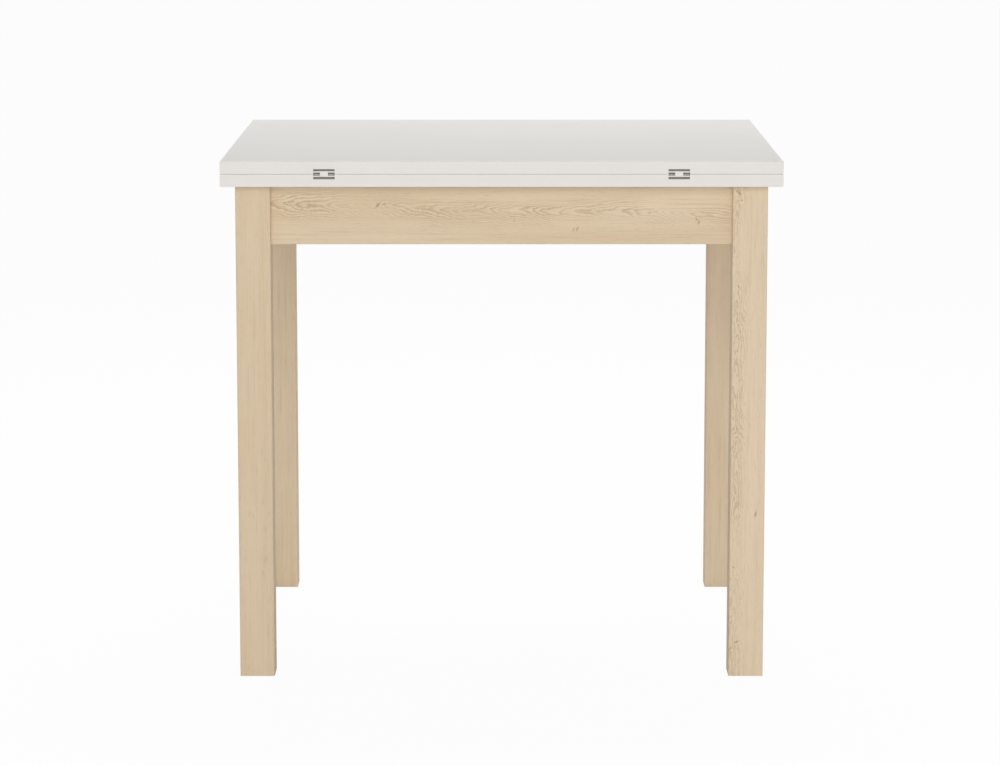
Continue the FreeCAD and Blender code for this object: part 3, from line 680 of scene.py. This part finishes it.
def cross_head_screws():
    """A tree of screws with a cross recess, countersunk or with a domed head."""
    tree = bpy.data.node_groups.new("cross_head_screws", "GeometryNodeTree")
    graph, wires = group_inputs(tree, SHANK_INPUTS | HEAD_INPUTS)
    radius, height, sunk = wires["Head Radius"], wires["Head Height"], wires["Countersunk"]
    ball = graph.node("GeometryNodeMeshUVSphere", None, {"Segments": 24, "Rings": 12, "Radius": 1.0})
    ball = graph.node("GeometryNodeTransform", None, {
        "Geometry": ball, "Scale": graph.vector(radius, radius, height)})
    level = graph.axes(graph.node("GeometryNodeInputPosition"))[2]
    above = graph.node("FunctionNodeCompare", {"data_type": "FLOAT", "operation": "GREATER_THAN"}, {
        0: level, 1: height * 0.01})
    dome = graph.node("GeometryNodeDeleteGeometry", {"domain": "POINT", "mode": "ALL"}, {
        "Geometry": ball, "Selection": above})
    seat = graph.node("GeometryNodeMeshCircle", {"fill_type": "NGON"}, {"Vertices": 24, "Radius": radius})
    dome = graph.node("GeometryNodeJoinGeometry", None, {"Geometry": [dome, seat]})
    dome = graph.node("GeometryNodeMergeByDistance", None, {"Geometry": dome, "Distance": WELD})
    cone = graph.node("GeometryNodeMeshCone", {"fill_type": "NGON"}, {
        "Vertices": 32, "Radius Bottom": radius, "Radius Top": wires["Shank Radius"], "Depth": height})
    head = graph.node("GeometryNodeSwitch", {"input_type": "GEOMETRY"}, {
        "Switch": sunk, "False": dome, "True": cone})
    face = graph.node("GeometryNodeSwitch", {"input_type": "FLOAT"}, {
        "Switch": sunk, "False": -height, "True": 0.0})
    arm, deep = wires["Recess Arm"], wires["Recess Depth"]
    cutters = []
    narrow = arm * RECESS_WIDTH
    for size in (graph.vector(arm, narrow, deep * 2.0), graph.vector(narrow, arm, deep * 2.0)):
        bar = graph.node("GeometryNodeMeshCube", None, {"Size": size})
        place = graph.vector(0.0, 0.0, face)
        cutters.append(graph.node("GeometryNodeTransform", None, {"Geometry": bar, "Translation": place}))
    cross = graph.node("GeometryNodeMeshBoolean", {"operation": "UNION", "solver": "EXACT"}, {
        "Mesh": cutters})
    head = graph.node("GeometryNodeMeshBoolean", {"operation": "DIFFERENCE", "solver": "EXACT"}, {
        "Mesh 1": head, "Mesh 2": cross})
    start = graph.node("GeometryNodeSwitch", {"input_type": "FLOAT"}, {
        "Switch": sunk, "False": 0.0, "True": height})
    shank = threaded_shank(graph, wires, SCREW_TIP)
    shank = graph.node("GeometryNodeJoinGeometry", None, {"Geometry": shank})
    shank = graph.node("GeometryNodeTransform", None, {
        "Geometry": shank, "Translation": graph.vector(0.0, 0.0, start)})
    on_points(graph, wires, [head, shank])
    return tree


def threaded_rods():
    """A tree of plain threaded rods."""
    tree = bpy.data.node_groups.new("threaded_rods", "GeometryNodeTree")
    graph, wires = group_inputs(tree, SHANK_INPUTS)
    on_points(graph, wires, threaded_shank(graph, wires, 1.0))
    return tree


def grown_on(points, tree, values, name):
    """A plain mesh object that a tree grows on (place, direction) pairs."""
    mesh = bpy.data.meshes.new(name + "_seats")
    mesh.from_pydata([place for place, driven in points], [], [])
    attribute = mesh.attributes.new("driven", "FLOAT_VECTOR", "POINT")
    for entry, (place, driven) in zip(attribute.data, points):
        entry.vector = driven
    seats = bpy.data.objects.new(name + "_seats", mesh)
    bpy.context.scene.collection.objects.link(seats)
    modifier = seats.modifiers.new(name, "NODES")
    modifier.node_group = tree
    for item in tree.interface.items_tree:
        if item.in_out == "INPUT" and item.name in values:
            modifier[item.identifier] = values[item.name]
    grown = bpy.data.meshes.new_from_object(seats.evaluated_get(bpy.context.evaluated_depsgraph_get()))
    seats.modifiers.remove(modifier)
    bpy.data.objects.remove(seats)
    grown.name = name
    grown.polygons.foreach_set("use_smooth", [True] * len(grown.polygons))
    grown.set_sharp_from_angle(angle=SHARP_ANGLE)
    piece = bpy.data.objects.new(name, grown)
    bpy.context.scene.collection.objects.link(piece)
    return piece


def stand_for(piece, node):
    """Let a piece take a CAD node's place on its body."""
    body = frame["nodes"][node]["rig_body"]
    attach(piece, body)
    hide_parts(node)


def dress_screws(tree, node, finish, sunk):
    """Replace a node of plain screws by screws with a recess and a thread."""
    screws = [measure(points) for points in solids_of(node)]
    one = screws[0]
    head_height = one.head_radius - one.shank_radius if sunk else DOME_HEIGHT
    raised = 0.0 if sunk else head_height
    seats = [(screw.end + screw.driven * raised, screw.driven) for screw in screws]
    values = {
        "Shank Radius": one.shank_radius, "Shank Length": one.length - head_height,
        "Thread Pitch": one.shank_radius * SCREW_PITCH, "Thread Depth": one.shank_radius * SCREW_THREAD,
        "Finish": finish, "Head Radius": one.head_radius, "Head Height": head_height,
        "Recess Arm": one.head_radius * RECESS_ARM, "Recess Depth": one.head_radius * RECESS_DEPTH,
        "Countersunk": sunk,
    }
    stand_for(grown_on(seats, tree, values, node + "_cut"), node)


def dress_fasteners(made):
    """Detailed screws and threaded leg bolts in place of the plain ones."""
    tree = cross_head_screws()
    for node in ("corner_bracket_screws", "rail_bracket_screws"):
        dress_screws(tree, node, made["zinc_steel"], False)
    dress_screws(tree, "pivot_plate_screws", made["zinc_steel"], True)
    for node in ("hinge_base_screws", "hinge_leaf_screws"):
        dress_screws(tree, node, made["nickel"], True)
    bolts = [measure(points) for points in solids_of("leg_bolts")]
    values = {
        "Shank Radius": bolts[0].shank_radius, "Shank Length": bolts[0].length,
        "Thread Pitch": BOLT_PITCH, "Thread Depth": BOLT_THREAD, "Finish": made["zinc_steel"],
    }
    rods = grown_on([(bolt.end, bolt.driven) for bolt in bolts], threaded_rods(), values, "leg_bolts_cut")
    stand_for(rods, "leg_bolts")


# Stage, light and camera


def seen_directly(graph):
    """1 for rays that show the background as it is, 0 for those that light the object."""
    path = graph.node("ShaderNodeLightPath").socket.node
    camera, glossy, through = (
        Wire(graph, path.outputs[name])
        for name in ("Is Camera Ray", "Is Glossy Ray", "Is Transmission Ray")
    )
    return camera.most(glossy).most(through)


def floor():
    """A pale floor that stays white in the picture but keeps some of the table's shadow."""
    mesh = bpy.data.meshes.new("floor")
    corners = [(x * FLOOR_HALF, y * FLOOR_HALF, 0.0) for x, y in ((-1, -1), (1, -1), (1, 1), (-1, 1))]
    mesh.from_pydata(corners, [], [(0, 1, 2, 3)])
    material = bpy.data.materials.new("floor")
    material.use_nodes = True
    graph = Graph(material.node_tree)
    shader = material.node_tree.nodes["Principled BSDF"]
    shader.inputs["Base Color"].default_value = (FLOOR_WHITE, FLOOR_WHITE, FLOOR_WHITE, 1.0)
    shader.inputs["Roughness"].default_value = 1.0
    shader.inputs["Specular IOR Level"].default_value = 0.0
    white = graph.node("ShaderNodeEmission", None, {"Color": (1.0, 1.0, 1.0, 1.0), "Strength": 1.0})
    factor = seen_directly(graph) * (1 - FLOOR_SHADOW_SHARE)
    mixed = graph.node("ShaderNodeMixShader", None, {0: factor, 1: Wire(graph, shader.outputs[0]), 2: white})
    graph.feed(material.node_tree.nodes["Material Output"].inputs["Surface"], mixed)
    mesh.materials.append(material)
    plane = bpy.data.objects.new("floor", mesh)
    bpy.context.scene.collection.objects.link(plane)


def world():
    """Even light from all round, and a white background."""
    made = bpy.data.worlds.new("studio")
    made.use_nodes = True
    graph = Graph(made.node_tree)
    background = made.node_tree.nodes["Background"]
    background.inputs["Color"].default_value = (1.0, 1.0, 1.0, 1.0)
    graph.feed(background.inputs["Strength"], seen_directly(graph) * (1 - AMBIENT) + AMBIENT)
    bpy.context.scene.world = made


def softbox(name, place, target, size, power):
    """A large soft lamp."""
    lamp = bpy.data.lights.new(name, "AREA")
    lamp.shape = "RECTANGLE"
    lamp.size, lamp.size_y = size
    lamp.energy = power
    holder = bpy.data.objects.new(name, lamp)
    holder.location = place
    holder.rotation_euler = (Vector(target) - Vector(place)).to_track_quat("-Z", "Y").to_euler()
    holder.visible_glossy = False
    bpy.context.scene.collection.objects.link(holder)


def camera():
    """The view of the picture, through a plain lens that is neither shifted nor blurred."""
    lens = bpy.data.cameras.new("camera")
    lens.lens = CAMERA_LENS
    lens.sensor_width = CAMERA_SENSOR
    lens.sensor_fit = "HORIZONTAL"
    lens.clip_end = CAMERA_REACH
    holder = bpy.data.objects.new("camera", lens)
    holder.location = CAMERA_PLACE
    holder.rotation_euler = (math.pi / 2 - CAMERA_PITCH, 0.0, CAMERA_PAN)
    bpy.context.scene.collection.objects.link(holder)
    bpy.context.scene.camera = holder


dress_fasteners(dress_nodes())
floor()
world()
softbox("front_lamp", KEY_PLACE, KEY_TARGET, KEY_SIZE, KEY_POWER)
softbox("top_lamp", TOP_PLACE, TOP_TARGET, TOP_SIZE, TOP_POWER)
camera()
bpy.context.scene.view_settings.view_transform = "Standard"
